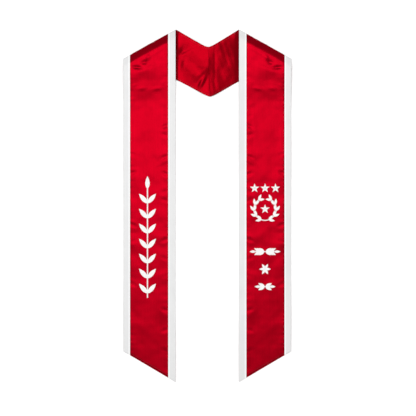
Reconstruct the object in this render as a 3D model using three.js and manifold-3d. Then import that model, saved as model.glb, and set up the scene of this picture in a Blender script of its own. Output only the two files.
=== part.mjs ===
// A satin graduation stole lying flat, seen from above: two long bands with slanting ends,
// each turned over at the shoulder and run on to a pointed seam behind the neck.
// Millimetres, X to the wearer's left as it lies face up, Y towards the neck, Z up.
// The origin is in the middle of the stole, on the table that it lies on.
import * as THREE from "three";
import { mergeVertices } from "three/addons/utils/BufferGeometryUtils.js";
import Module from "manifold-3d";

const wasm = await Module();
wasm.setup();

// Outline, as it lies
const panelWidth = 125; // one hanging end, trims included
const panelGap = 152; // between the hanging ends, where the neck goes
const innerEdge = 846; // shoulder peak to point, along the inner edge
const shoulderSlope = 29.2; // degrees, the fold over each shoulder
const hemSlope = 30.5; // degrees, the slanting hem
const notchDepth = 42.5; // shoulder peak down to the dip of the neck's upper edge
const neckDepth = 161.8; // shoulder peak down to the low point of the neck's lower edge
const notchShift = 2.2; // the seam's upper end lies this far to the right of the middle
const pointShift = 6.5; // and its lower end this far
const notchRound = 7; // softening of the upper edge at the seam
const pointRound = 12; // softening of the lower edge at the seam
const neckEdgeBow = 8.5; // the lower edge bows up this much between shoulder and seam

// Cloth
const plyThickness = 1; // one layer of satin with its interfacing
const plyGap = 0.3; // between the face and the lining
const seamGap = 0.3; // between cloth pieces that are sewn edge to edge
const foldGap = 0.4; // between a band and its neck strip, where the cloth turns at the fold's edge
const outerTrim = 16; // white band along the outer edge
const innerTrim = 18; // white band along the inner edge

// The soft fold over the shoulder, in the plane square to it
const creaseRadius = 2; // middle of the cloth, at the fold's edge
const springAngle = 18; // degrees, at which the upper layer rises from the crease
const ridgeInward = 17; // the ridge where it turns over, in from the fold's edge
const ridgeRound = 4; // the turn takes this far on either side of the ridge
const fallInward = 64; // where the upper layer has come to rest
const restGap = 0.7; // between the band and the neck strip that it lies on
const easeNear = 12; // the band stays lifted this far past the neck strip's edge
const easeFar = 42; // and lies on the table from here on

// Raised embroidery
const threadPile = 0.8;
const motifGap = 0.3; // between the satin and the embroidery
const sprigLength = 292; // the upright sprig on the left band
const sprigTop = 352; // shoulder peak down to its tip
const sprigShift = 5; // its stem lies this far outside the band's middle
const sprigPairs = 7;
const sprigLeaf = { length: 31, width: 10.5, lean: 41 };
const stemWidth = 3;
const leafBelly = 0.4; // share of a leaf's length, where it is widest
// Where the leaves stand on a stem, as shares of a leaf's length and of the pitch of the pairs
const sprigSpacing = { tipLeaf: 0.8, lastPair: 0.5, firstPair: 0.3 };
const wreathRadius = 27;
const wreathDrop = 431; // shoulder peak down to the wreath's middle
const wreathLeaf = { length: 15, width: 6, lean: 28 };
const wreathPairs = 5;
const wreathSpread = { first: 0.12, last: 0.93 }; // shares of a branch, its lowest and top pair
const wreathStemWidth = 2.4;
const wreathOpening = 50; // degrees left open at the top
const starRadius = 11.5;
const starWaist = 0.42; // share of the radius, at the inner corners
const starRise = 50; // the row of stars lies this far above the wreath's middle
const starPitch = 25;
const rosetteDrop = 575; // shoulder peak down to the rosette's middle
const rosetteLeaf = { length: 14, width: 6 };
const barPitch = 42; // from the rosette to the lying sprig above it, and to the one below
const barLength = 74;
const barLeaf = { length: 15, width: 6, lean: 34 };
// The lying sprigs. row: pitches below the rosette; length: share of the bar length.
const bars = [
  { name: "sprig_upper", row: -1, length: 1, pairs: 5 },
  { name: "sprig_lower", row: 1, length: 0.68, pairs: 3 },
];

// Folds of the neck strip. across: share of half the gap, from the middle; down: share of the
// neck depth; length and width: shares of the gap; rise: share of the ridge height; lean: degrees.
const neckFolds = [
  { across: -0.79, down: 0.15, length: 0.17, width: 0.036, rise: 0.4, lean: 27 },
  { across: -0.17, down: 0.75, length: 0.2, width: 0.06, rise: 0.42, lean: 57 },
  { across: -0.5, down: 0.42, length: 0.26, width: 0.12, rise: 0.26, lean: 12 },
  { across: 0.5, down: 0.35, length: 0.26, width: 0.11, rise: 0.3, lean: -31 },
  { across: 0.56, down: 0.62, length: 0.2, width: 0.1, rise: 0.2, lean: -28 },
];
const neckFade = { from: 0.72, to: 0.98 }; // shares of half the gap, where they die away
// Dents and swells of each band, alike on both. across: share of the band's width, from its
// outer edge; down: share of the inner edge's length, from the shoulder peak; length and width:
// shares of the band's width; rise: share of the ridge height; lean: degrees, rising inwards.
const bandFolds = [
  { across: 0.36, down: 0.122, length: 0.5, width: 0.1, rise: 0.16, lean: 21 },
  { across: 0.5, down: 0.168, length: 0.6, width: 0.1, rise: 0.15, lean: 2 },
];
// Long shallow waves along the edges of the bands. edge: share of the band's width;
// down: share of the inner edge's length; length: share of that too; rise: share of the ridge.
const edgeWaves = [
  { edge: 1, down: 0.3, length: 0.11, rise: 0.24 },
  { edge: 0, down: 0.36, length: 0.12, rise: 0.18 },
  { edge: 0, down: 0.84, length: 0.1, rise: 0.2 },
  { edge: 1, down: 0.93, length: 0.09, rise: 0.22 },
];
const waveReach = 0.3; // share of the band's width that a wave dies away over

// Sampling
const bandRows = 19; // down the hanging part
const easeRows = 8; // where it comes to rest
const swellRows = 4; // down from the ridge
const creaseRows = 3; // round each half of the crease
const neckRows = 16; // from the crease to the seam
const satinColumns = 4; // across the red satin
const leafSteps = 3; // along each side of a leaf
const normalStep = 0.01; // share of the band's width over which its slope is measured
const turnStep = 0.02; // radians, the same round the crease

const crimson = 0xc4001a;
const liningRed = 0xb80016;
const white = 0xeceded;

// Worked out from the sizes above
const stack = 2 * plyThickness + plyGap; // face and lining together
const middle = stack / 2; // height of the cloth's middle where it lies on the table
const restLift = stack + restGap;
const innerX = panelGap / 2;
const outerX = innerX + panelWidth;
const radians = THREE.MathUtils.degToRad;
const slope = Math.tan(radians(shoulderSlope));
const foldCos = Math.cos(radians(shoulderSlope));
const foldSin = Math.sin(radians(shoulderSlope));
const peakY = innerEdge / 2;
const cornerY = peakY - panelWidth * slope;
const pointY = -peakY;
const outerHemY = pointY + panelWidth * Math.tan(radians(hemSlope));
const outerSeam = outerTrim / panelWidth;
const innerSeam = 1 - innerTrim / panelWidth;
const halfSeam = seamGap / 2 / panelWidth;
const bandMiddle = (innerX + outerX) / 2;
const springSlope = Math.tan(radians(springAngle));
const springInward = middle + creaseRadius * (1 - Math.sin(radians(springAngle)));
const springHeight = middle + creaseRadius * (1 + Math.cos(radians(springAngle)));
const ridgeHeight = springHeight + (ridgeInward - springInward) * springSlope;
const creaseInward = middle + creaseRadius; // where the neck strip lies on the table
const creaseRun = creaseInward / (foldSin + foldCos * slope); // and how far that is along X
const creaseSlip = creaseInward / Math.tan(2 * radians(shoulderSlope)); // and along the fold

const { lerp, smoothstep } = THREE.MathUtils;

// A line that is straight away from t = 0 and round over it
const softened = (t, round) => Math.hypot(t, round) - round;

// The lower of two heights, with a round turn from one to the other
const lowerOf = (a, b, round) => (a + b - Math.hypot(a - b, round)) / 2;

// The neck strip's edges over x, in one half's own frame, where x grows from the middle to the
// outer edge. side is 1 on the right and -1 on the left, and the seam leans to the right.
function upperEdge(x, side) {
  const seam = side * notchShift;
  const rise = notchDepth / softened(innerX - seam, notchRound);
  return peakY - notchDepth + rise * softened(x - seam, notchRound);
}

function lowerEdge(x, side) {
  const seam = side * pointShift;
  const low = peakY - neckDepth;
  const share = (x - seam) / (outerX - seam);
  const rise = (cornerY - low) / softened(outerX - seam, pointRound);
  const bow = 4 * neckEdgeBow * share * (1 - share);
  return low + rise * softened(x - seam, pointRound) + bow;
}

// A long soft swelling at (x, y): a bell across it, and a bell along it
function swelling(x, y, fold) {
  const along = (x - fold.x) * Math.cos(fold.turn) + (y - fold.y) * Math.sin(fold.turn);
  const across = (y - fold.y) * Math.cos(fold.turn) - (x - fold.x) * Math.sin(fold.turn);
  return fold.rise * Math.exp(-((along / fold.length) ** 2) - (across / fold.width) ** 2);
}

const neckSwellings = neckFolds.map((fold) => ({
  x: fold.across * innerX,
  y: peakY - fold.down * neckDepth,
  length: fold.length * panelGap,
  width: fold.width * panelGap,
  rise: fold.rise * ridgeHeight,
  turn: radians(fold.lean),
}));

const bandSwellings = bandFolds.map((fold) => ({
  x: outerX - fold.across * panelWidth,
  y: peakY - fold.down * innerEdge,
  length: fold.length * panelWidth,
  width: fold.width * panelWidth,
  rise: fold.rise * ridgeHeight,
  turn: radians(180 - fold.lean),
}));

// Height of the neck strip's middle: flat under the bands, softly folded where it shows
function neckHeight(x, y, side) {
  const shows = 1 - smoothstep(x, innerX * neckFade.from, innerX * neckFade.to);
  const folds = neckSwellings.reduce((sum, fold) => sum + swelling(side * x, y, fold), 0);
  return middle + shows * folds;
}

// Height of a hanging band's middle
function bandHeight(x, y, side) {
  const inward = (peakY - (x - innerX) * slope - y) * foldCos;
  const past = lowerEdge(x, side) - y;
  const lifted = middle + restLift * (1 - smoothstep(past, easeNear, easeFar));
  const rising = springHeight + (inward - springInward) * springSlope;
  const rest = 1 - smoothstep(inward, ridgeInward, fallInward);
  const folds = bandSwellings.reduce((sum, fold) => sum + swelling(x, y, fold), 0);
  const waves = edgeWaves.reduce((sum, wave) => {
    const fade = Math.max(0, 1 - Math.abs((outerX - x) / panelWidth - wave.edge) / waveReach);
    const along = (peakY - y - wave.down * innerEdge) / (wave.length * innerEdge);
    return sum + wave.rise * ridgeHeight * Math.exp(-(along ** 2)) * fade ** 2;
  }, 0);
  const falling = lifted + (ridgeHeight - lifted) * rest + (1 - rest) * (folds + waves);
  return lowerOf(rising, falling, ridgeRound * springSlope);
}

// Rows of the cloth's middle surface from the hem over the shoulder to the seam. Each row is a
// function of the share b across the band, 0 at its outer edge and 1 at its inner edge. The band
// and the neck strip are solids of their own that meet at the fold's edge.
function bandRow(outerY, innerY, side) {
  return (b) => {
    const x = lerp(outerX, innerX, b);
    const y = lerp(outerY, innerY, b);
    return new THREE.Vector3(x, y, bandHeight(x, y, side));
  };
}

function creasePoints(angle) {
  const inward = middle + creaseRadius * (1 - Math.sin(angle));
  const height = middle + creaseRadius * (1 + Math.cos(angle));
  const turned = (angle - radians(springAngle)) / (Math.PI - radians(springAngle));
  const along = lerp(springInward * slope, -creaseSlip, turned);
  return (b) => {
    const x = lerp(outerX, innerX, b);
    const y = peakY - (x - innerX) * slope;
    return new THREE.Vector3(
      x + along * foldCos - inward * foldSin,
      y - along * foldSin - inward * foldCos,
      height,
    );
  };
}

// A row of the crease, with close rows on either side of it that give its slope
function creaseRow(angle) {
  const row = creasePoints(angle);
  row.before = creasePoints(angle - turnStep);
  row.after = creasePoints(angle + turnStep);
  return row;
}

function neckRow(share, side) {
  const seamHalf = seamGap / 2;
  const lowX = lerp(outerX - creaseRun, side * pointShift + seamHalf, share);
  const topX = lerp(innerX - creaseRun, side * notchShift + seamHalf, share);
  const low = new THREE.Vector2(lowX, lowerEdge(lowX, side));
  const top = new THREE.Vector2(topX, upperEdge(topX, side));
  return (b) => {
    const p = low.clone().lerp(top, b);
    return new THREE.Vector3(p.x, p.y, neckHeight(p.x, p.y, side));
  };
}

const evenShares = (from, to, count) =>
  Array.from({ length: count + 1 }, (_, i) => lerp(from, to, i / count));

function clothRows(side) {
  const rows = [];
  const fall = fallInward / foldCos;
  const easeEnd = peakY - lowerEdge(innerX, side) + easeFar;
  const flat = (innerEdge - easeEnd) / (innerEdge - fall); // share of the band that lies flat
  const hanging = [...evenShares(0, flat, bandRows), ...evenShares(flat, 1, easeRows).slice(1, -1)];
  for (const t of hanging)
    rows.push(bandRow(lerp(outerHemY, cornerY - fall, t), lerp(pointY, peakY - fall, t), side));
  const turnStart = ridgeInward + ridgeRound;
  const turnEnd = ridgeInward - ridgeRound;
  const rise = (turnEnd + springInward) / 2;
  for (const inward of [...evenShares(fallInward, turnStart, swellRows), ridgeInward, turnEnd, rise]) {
    const down = inward / foldCos;
    rows.push(bandRow(cornerY - down, peakY - down, side));
  }
  const edge = Math.PI / 2;
  const parted = foldGap / 2 / creaseRadius;
  for (const angle of evenShares(radians(springAngle), edge - parted, creaseRows))
    rows.push(creaseRow(angle));
  const bandCount = rows.length;
  for (const angle of evenShares(edge + parted, Math.PI, creaseRows).slice(0, -1))
    rows.push(creaseRow(angle));
  for (let i = 0; i <= neckRows; i++) rows.push(neckRow(i / neckRows, side));
  return { all: rows, band: [0, bandCount], neck: [bandCount, rows.length] };
}

const rowsOf = { 1: clothRows(1), [-1]: clothRows(-1) };

// A closed layer of a side's band or neck strip, between two shares of the width and two
// distances from the middle surface, positive towards the face
function clothLayer(side, stretch, shares, low, high) {
  const rows = rowsOf[side].all;
  const [first, end] = rowsOf[side][stretch];
  const points = [];
  for (let i = first; i < end; i++) {
    const row = rows[i];
    const before = row.before ?? rows[Math.max(i - 1, 0)];
    const after = row.after ?? rows[Math.min(i + 1, rows.length - 1)];
    for (const share of shares) {
      const at = row(share);
      const back = at.clone().sub(before(share)).normalize();
      const ahead = after(share).sub(at).normalize();
      const across = row(share + normalStep).sub(row(share - normalStep));
      const normal = across.cross(back.add(ahead)).negate().normalize();
      for (const distance of [low, high]) points.push(at.clone().addScaledVector(normal, distance));
    }
  }
  for (const p of points) p.x *= side;
  return closedGrid(points, end - first, shares.length, side);
}

// Triangles of a closed grid of points, two to a place: its lower and its upper surface
function closedGrid(points, rowCount, columnCount, side) {
  const index = [];
  const at = (row, column, upper) => 2 * (row * columnCount + column) + upper;
  const quad = (a, b, c, d) => {
    const corners = side > 0 ? [a, b, c, a, c, d] : [a, c, b, a, d, c];
    index.push(...corners);
  };
  for (let r = 0; r < rowCount - 1; r++) {
    for (let c = 0; c < columnCount - 1; c++) {
      quad(at(r, c, 1), at(r + 1, c, 1), at(r + 1, c + 1, 1), at(r, c + 1, 1));
      quad(at(r, c, 0), at(r, c + 1, 0), at(r + 1, c + 1, 0), at(r + 1, c, 0));
    }
    const last = columnCount - 1;
    quad(at(r, 0, 0), at(r + 1, 0, 0), at(r + 1, 0, 1), at(r, 0, 1));
    quad(at(r, last, 1), at(r + 1, last, 1), at(r + 1, last, 0), at(r, last, 0));
  }
  for (let c = 0; c < columnCount - 1; c++) {
    const end = rowCount - 1;
    quad(at(0, c, 1), at(0, c + 1, 1), at(0, c + 1, 0), at(0, c, 0));
    quad(at(end, c, 0), at(end, c + 1, 0), at(end, c + 1, 1), at(end, c, 1));
  }
  const positions = points.flatMap((p) => [p.x, p.y, p.z]);
  const geometry = new THREE.BufferGeometry();
  geometry.setAttribute("position", new THREE.Float32BufferAttribute(positions, 3));
  geometry.setIndex(index);
  return geometry;
}

const satin = (color, roughness) => new THREE.MeshStandardMaterial({ color, roughness, metalness: 0 });
const redSatin = satin(crimson, 0.4);
const redLining = satin(liningRed, 0.45);
const whiteSatin = satin(white, 0.5);
const whiteThread = satin(white, 0.6);

function namedMesh(name, geometry, material) {
  const mesh = new THREE.Mesh(geometry, material);
  mesh.name = name;
  geometry.computeVertexNormals();
  return mesh;
}

// A band or a neck strip: face, lining and the two white trims
function clothPieces(name, side, stretch) {
  const face = [plyGap / 2, stack / 2];
  const lining = [-stack / 2, -plyGap / 2];
  const red = evenShares(outerSeam, innerSeam, satinColumns);
  const faceShares = evenShares(outerSeam + halfSeam, innerSeam - halfSeam, satinColumns);
  const outerShares = [0, outerSeam - halfSeam];
  const innerShares = [innerSeam + halfSeam, 1];
  return [
    namedMesh(name + "_face", clothLayer(side, stretch, faceShares, ...face), redSatin),
    namedMesh(name + "_lining", clothLayer(side, stretch, [0, ...red, 1], ...lining), redLining),
    namedMesh(name + "_outer_trim", clothLayer(side, stretch, outerShares, ...face), whiteSatin),
    namedMesh(name + "_inner_trim", clothLayer(side, stretch, innerShares, ...face), whiteSatin),
  ];
}

// One half of the stole: its hanging band, and its share of the neck strip
function half(name, side) {
  const group = new THREE.Group();
  group.add(...clothPieces(name, side, "band"), ...clothPieces(name + "_neck", side, "neck"));
  return group;
}

// A shape's extrusion as a solid that can be joined
function solidOf(shape, curveSegments) {
  const geometry = new THREE.ExtrudeGeometry(shape, {
    depth: threadPile,
    bevelEnabled: false,
    curveSegments,
  });
  geometry.deleteAttribute("normal");
  geometry.deleteAttribute("uv");
  const merged = mergeVertices(geometry);
  return new wasm.Manifold(
    new wasm.Mesh({
      numProp: 3,
      vertProperties: merged.attributes.position.array,
      triVerts: new Uint32Array(merged.index.array),
    }),
  );
}

function geometryOf(solid) {
  const mesh = solid.getMesh();
  const geometry = new THREE.BufferGeometry();
  geometry.setAttribute("position", new THREE.BufferAttribute(mesh.vertProperties, 3));
  geometry.setIndex(new THREE.BufferAttribute(mesh.triVerts, 1));
  return geometry;
}

// A pointed leaf from (0, 0) along +X
function leaf({ length, width }) {
  const shape = new THREE.Shape();
  const belly = leafBelly * length;
  shape.moveTo(0, 0);
  shape.quadraticCurveTo(belly, width, length, 0);
  shape.quadraticCurveTo(belly, -width, 0, 0);
  return solidOf(shape, leafSteps);
}

const placed = (solid, x, y, degrees) => solid.rotate([0, 0, degrees]).translate([x, y, 0]);

// A straight stem along +X with pairs of leaves and one at its tip
function sprig(length, pairs, leafSize, thickness) {
  const stem = new THREE.Shape();
  const reach = length - leafSize.length * sprigSpacing.tipLeaf;
  stem.moveTo(0, -thickness / 2);
  stem.lineTo(reach, -thickness / 2);
  stem.lineTo(reach, thickness / 2);
  stem.lineTo(0, thickness / 2);
  let solid = solidOf(stem, 1).add(placed(leaf(leafSize), length - leafSize.length, 0, 0));
  const pitch = (reach - leafSize.length * sprigSpacing.lastPair) / pairs;
  for (let i = 0; i < pairs; i++)
    for (const turn of [leafSize.lean, -leafSize.lean])
      solid = solid.add(placed(leaf(leafSize), pitch * (i + sprigSpacing.firstPair), 0, turn));
  return solid;
}

// A lying sprig that grows both ways from its middle
function lyingSprig({ length, pairs }) {
  const arm = sprig((length * barLength) / 2, Math.ceil(pairs / 2), barLeaf, wreathStemWidth);
  return arm.add(arm.rotate([0, 0, 180]));
}

// Two curved branches that meet at the bottom and leave the top open
function wreath() {
  const open = radians(wreathOpening / 2);
  const ring = new THREE.Shape();
  ring.absarc(0, 0, wreathRadius + wreathStemWidth / 2, Math.PI / 2 + open, Math.PI * 2.5 - open);
  ring.absarc(0, 0, wreathRadius - wreathStemWidth / 2, Math.PI * 2.5 - open, Math.PI / 2 + open, true);
  let solid = solidOf(ring, 10);
  const span = Math.PI - open;
  for (const side of [1, -1])
    for (const share of evenShares(wreathSpread.first, wreathSpread.last, wreathPairs - 1)) {
      const turned = -Math.PI / 2 + side * share * span;
      const x = wreathRadius * Math.cos(turned);
      const y = wreathRadius * Math.sin(turned);
      const grows = THREE.MathUtils.radToDeg(turned + (side * Math.PI) / 2);
      for (const lean of [wreathLeaf.lean, -wreathLeaf.lean])
        solid = solid.add(placed(leaf(wreathLeaf), x, y, grows + lean));
    }
  return solid;
}

function rosette() {
  const leaves = [0, 60, 120, 180, 240, 300].map((turn) => placed(leaf(rosetteLeaf), 0, 0, turn));
  const eye = new THREE.Shape().absarc(0, 0, rosetteLeaf.width / 2, 0, Math.PI * 2);
  return leaves.reduce((solid, one) => solid.add(one), solidOf(eye, 6));
}

function star() {
  const shape = new THREE.Shape();
  for (let i = 0; i < 10; i++) {
    const radius = i % 2 ? starRadius * starWaist : starRadius;
    const turn = Math.PI / 2 + (i * Math.PI) / 5;
    const corner = [radius * Math.cos(turn), radius * Math.sin(turn)];
    if (i) shape.lineTo(...corner);
    else shape.moveTo(...corner);
  }
  return solidOf(shape, 1);
}

// Embroidery lies on the flat of a band, at x from the middle and down from the shoulder peak
function motif(name, solid, x, down) {
  const mesh = namedMesh(name, geometryOf(solid), whiteThread);
  mesh.position.set(x, peakY - down, stack + motifGap);
  return mesh;
}

function leftEmbroidery() {
  const solid = sprig(sprigLength, sprigPairs, sprigLeaf, stemWidth).rotate([0, 0, 90]);
  return motif("left_sprig", solid, -bandMiddle - sprigShift, sprigTop + sprigLength);
}

function rightEmbroidery() {
  const group = new THREE.Group();
  const starDrop = wreathDrop - starRise;
  for (const i of [-1, 0, 1])
    group.add(motif("right_star_" + (i + 2), star(), bandMiddle + i * starPitch, starDrop));
  group.add(
    motif("right_wreath", wreath(), bandMiddle, wreathDrop),
    motif("right_wreath_star", star(), bandMiddle, wreathDrop),
    motif("right_rosette", rosette(), bandMiddle, rosetteDrop),
  );
  for (const bar of bars) {
    const drop = rosetteDrop + bar.row * barPitch;
    group.add(motif("right_" + bar.name, lyingSprig(bar), bandMiddle, drop));
  }
  return group;
}

const stole = new THREE.Group();
stole.add(half("left", -1), half("right", 1), leftEmbroidery(), rightEmbroidery());

export default stole;
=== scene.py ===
# %% [markdown]
# # A satin graduation stole, laid flat
#
# The real thing is a strip of red polyester satin, 125 mm wide with a white satin band along each
# edge, lined with more red satin. It runs from a slanting hem up to the shoulder, is turned over
# there, and meets its mirror image in a seam behind the neck. This lesson makes the cloth, the
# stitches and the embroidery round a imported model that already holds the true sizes.

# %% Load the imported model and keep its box
import math

import bpy
import numpy as np
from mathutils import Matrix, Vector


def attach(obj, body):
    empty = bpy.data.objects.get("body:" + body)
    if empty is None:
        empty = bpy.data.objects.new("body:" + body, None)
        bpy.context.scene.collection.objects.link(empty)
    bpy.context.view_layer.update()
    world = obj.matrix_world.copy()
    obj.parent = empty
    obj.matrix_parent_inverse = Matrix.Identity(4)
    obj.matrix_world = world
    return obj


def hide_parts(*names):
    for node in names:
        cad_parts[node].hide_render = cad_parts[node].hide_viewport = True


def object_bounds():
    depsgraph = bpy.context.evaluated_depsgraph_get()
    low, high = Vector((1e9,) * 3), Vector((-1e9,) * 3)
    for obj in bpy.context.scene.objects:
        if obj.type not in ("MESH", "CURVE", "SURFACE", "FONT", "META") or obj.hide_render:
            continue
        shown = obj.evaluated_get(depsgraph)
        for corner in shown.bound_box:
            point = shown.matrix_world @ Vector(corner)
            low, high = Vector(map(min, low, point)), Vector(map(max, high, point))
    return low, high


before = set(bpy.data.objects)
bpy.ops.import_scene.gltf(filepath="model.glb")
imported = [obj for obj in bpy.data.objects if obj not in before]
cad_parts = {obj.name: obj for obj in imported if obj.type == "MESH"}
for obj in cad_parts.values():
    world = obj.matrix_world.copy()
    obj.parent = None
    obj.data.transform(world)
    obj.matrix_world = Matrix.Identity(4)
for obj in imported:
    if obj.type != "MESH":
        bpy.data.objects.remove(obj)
packed_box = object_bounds()
MM = 0.001  # cloth is measured in millimetres here, and a mesh is made in metres
print("packed nodes:", len(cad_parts), "box:", [tuple(round(x, 4) for x in c) for c in packed_box])

# %% [markdown]
# ## The outline
#
# A stole has few driving sizes: how wide a band is, how far the bands lie apart, and the slants of
# the shoulder fold and the hem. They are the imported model's own sizes, apart from the three that
# say how softly a band comes down from the shoulder. Everything below is worked out for one half
# whose x grows outwards from the middle, and the left half is turned over at the end, so a fold of
# a band is described only once.

# %% Driving sizes, in millimetres and degrees
panel_width = 125
panel_gap = 152
inner_edge = 846
shoulder_slope = math.radians(29.2)
hem_slope = math.radians(30.5)
notch_depth = 42.5
neck_depth = 161.8
notch_shift = 2.2
point_shift = 6.5
notch_round = 7
point_round = 12
neck_edge_bow = 8.5

ply_thickness = 1.0
ply_gap = 0.3
seam_gap = 0.3
outer_trim = 16
inner_trim = 18
welt_highlight_width = 3.8  # the trim is folded double beside the red into a raised welt, and this width of it is painted lighter: a painted highlight along the fold

crease_radius = 2
spring_angle = math.radians(18)
ridge_inward = 17
ridge_round = 4
fall_inward = 116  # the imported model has 64: a longer fall lets the shine fade down the band
rest_gap = 0.7
ease_near = 4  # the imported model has 12
ease_far = 84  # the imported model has 42

# %% Sizes that follow from them
stack = 2 * ply_thickness + ply_gap
middle = stack / 2
rest_lift = stack + rest_gap
inner_x = panel_gap / 2
outer_x = inner_x + panel_width
slope = math.tan(shoulder_slope)
fold_cos = math.cos(shoulder_slope)
fold_sin = math.sin(shoulder_slope)
peak_y = inner_edge / 2
corner_y = peak_y - panel_width * slope
point_y = -peak_y
outer_hem_y = point_y + panel_width * math.tan(hem_slope)
spring_slope = math.tan(spring_angle)
spring_inward = middle + crease_radius * (1 - math.sin(spring_angle))
spring_height = middle + crease_radius * (1 + math.cos(spring_angle))
ridge_height = spring_height + (ridge_inward - spring_inward) * spring_slope
crease_inward = middle + crease_radius
crease_run = crease_inward / (fold_sin + fold_cos * slope)
crease_slip = crease_inward / math.tan(2 * shoulder_slope)
band_middle = (inner_x + outer_x) / 2
packed_width = (packed_box[1].x - packed_box[0].x) / MM
packed_length = (packed_box[1].y - packed_box[0].y) / MM
print(f"width {2 * outer_x:.1f} of {packed_width:.1f} packed, length {inner_edge:.1f} of {packed_length:.1f}")

# %% [markdown]
# ## The lie of the cloth
#
# The middle of the cloth is one smooth surface, a height over x and y. A cloth simulation could
# drape it, but the photograph shows particular folds, and a formula puts each one where it
# belongs. A fold is a long soft bell: a Gaussian across it and a Gaussian along it.


# %% Helpers for curves and bells
wavelength_spread = (0.65, 1.5)  # of the mixed waves, as shares of the one asked for


def smoothstep(value, low, high):
    t = np.clip((value - low) / (high - low), 0, 1)
    return t * t * (3 - 2 * t)


def softened(t, round_over):
    """A line that is straight away from t = 0 and round over it"""
    return np.hypot(t, round_over) - round_over


def lower_of(a, b, round_over):
    """The lower of two heights, with a round turn from one to the other"""
    return (a + b - np.hypot(a - b, round_over)) / 2


def higher_of(a, b, round_over):
    """The higher of two heights, with the same round turn"""
    return -lower_of(-a, -b, round_over)


def bells(x, down, folds):
    """The summed height of folds: x, down, half length, half widths above and below, rise, lean"""
    total = np.zeros_like(x + down)
    for at_x, at_down, length, above, below, rise, lean in folds:
        turn = math.radians(lean)
        along = (x - at_x) * math.cos(turn) - (down - at_down) * math.sin(turn)
        across = (down - at_down) * math.cos(turn) + (x - at_x) * math.sin(turn)
        width = np.where(across > 0, below, above)
        total = total + rise * np.exp(-((along / length) ** 2) - (across / width) ** 2)
    return total


def ripples(x, y, wavelength, seed, waves=14):
    """Unevenness of about one millimetre, made of waves that cross in all directions"""
    random = np.random.default_rng(seed)
    total = np.zeros_like(x + y)
    for _ in range(waves):
        heading, phase = random.uniform(0, 2 * math.pi, 2)
        pull = 2 * math.pi / (wavelength * random.uniform(*wavelength_spread))
        total = total + np.sin(pull * (x * math.cos(heading) + y * math.sin(heading)) + phase)
    return total / math.sqrt(waves)


# %% The neck strip's two edges
def upper_edge(x, side):
    seam = side * notch_shift
    rise = notch_depth / softened(inner_x - seam, notch_round)
    return peak_y - notch_depth + rise * softened(x - seam, notch_round)


def lower_edge(x, side):
    seam = side * point_shift
    low = peak_y - neck_depth
    share = (x - seam) / (outer_x - seam)
    rise = (corner_y - low) / softened(outer_x - seam, point_round)
    return low + rise * softened(x - seam, point_round) + 4 * neck_edge_bow * share * (1 - share)


# %% Folds of the neck strip: x, distance down from the peak, length, widths, rise, lean
neck_folds = [
    (-70.0, 60.0, 34.0, 15.0, 4.0, 1.9, 26),
    (-40.0, 22.0, 20.0, 9.0, 9.0, 0.4, -35),
    (-22.0, 107.0, 21.0, 46.0, 12.0, 3.8, 40),
    (-13.0, 128.0, 13.0, 5.0, 4.0, 2.6, 61),
    (-50.0, 80.0, 30.0, 12.0, 9.0, 0.2, 14),
    (38.0, 56.6, 39.5, 13.0, 13.0, 0.45, -31),
    (42.6, 100.3, 30.4, 12.0, 12.0, 0.35, -28),
    (18.0, 90.0, 70.0, 3.5, 3.5, -0.22, 90),
]
# Across the neck strip: it climbs from the left band to its seam, sinks, then drops to the right one
strip_profile_x = [-90, -75.8, -73, -4, 2, 66, 75.8, 90]
strip_profile_height = [0, 0, 5.6, 9.4, 9.4, 2.2, 0, 0]
# Folds of a hanging band, over distance in from its outer edge instead of x
band_folds = [
    (45.0, 103.2, 62.5, 12.5, 12.5, 0.55, 21),
    (62.5, 142.1, 75.0, 12.5, 12.5, 0.15, 2),
    (56.0, 95.0, 34.0, 4.5, 8.0, 0.45, 22),
    (50.6, 79.5, 7.0, 5.0, 5.0, -1.3, 20),
    (24.0, 77.5, 5.5, 4.0, 4.0, -1.2, 0),
    (32.0, 91.5, 11.0, 4.0, 4.0, -1.5, -5),
    (59.0, 66.0, 5.0, 9.0, 9.0, 1.0, 0),
    (76.0, 55.0, 26.0, 5.0, 5.0, 0.35, 31),
    (44.4, 141.5, 9.0, 4.5, 4.5, 0.6, 8),
    (80.4, 142.0, 11.0, 4.5, 4.5, 0.6, 10),
    (26.0, 134.0, 7.0, 4.0, 4.0, 0.3, 20),
    (95.0, 128.0, 8.0, 5.0, 5.0, 0.3, 50),
    (60.0, 122.0, 40.0, 7.0, 7.0, -0.25, 4),
    (94.0, 179.0, 9.0, 7.0, 7.0, 0.3, -30),
    (38.0, 194.0, 12.0, 6.0, 6.0, -0.35, 15),
    (90.0, 322.0, 14.0, 5.0, 5.0, 0.5, 25),
    (30.0, 520.0, 30.0, 9.0, 9.0, 0.3, -35),
    (50.0, 690.0, 60.0, 14.0, 14.0, 0.2, 28),
    (84.0, 735.0, 40.0, 10.0, 10.0, 0.25, 32),
]
# Small tucks where the seam thread pulls the satin in: distance down, depth
inner_tucks = [
    (208, 0.5), (233, 1.0), (254, 0.6), (306, 1.2), (346, 1.0), (389, 0.6), (410, 0.8),
    (505, 1.2), (549, 0.6), (592, 0.5), (673, 0.8), (722, 0.7), (770, 0.5),
]
outer_tucks = [(300, 0.5), (345, 0.9), (470, 1.0), (508, 0.6), (612, 0.6)]
inner_tuck_place = panel_width - inner_trim - 8
outer_tuck_place = outer_trim + 7
tuck_leans = (-20, 24)
tuck_size = (8.5, 4.5, 4.5)  # half length and half widths
tuck_fall = 1.3  # times the tuck's depth
puff_size = (15.0, 12.0, 12.0)  # the satin stands up round each tuck
puff_rise = 0.9
for from_outer, tucks in ((inner_tuck_place, inner_tucks), (outer_tuck_place, outer_tucks)):
    for number, (down, depth) in enumerate(tucks):
        lean = tuck_leans[number % 2]
        band_folds.append((from_outer, down, *puff_size, puff_rise * depth, lean))
        band_folds.append((from_outer, down, *tuck_size, -tuck_fall * depth, lean))
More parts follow.
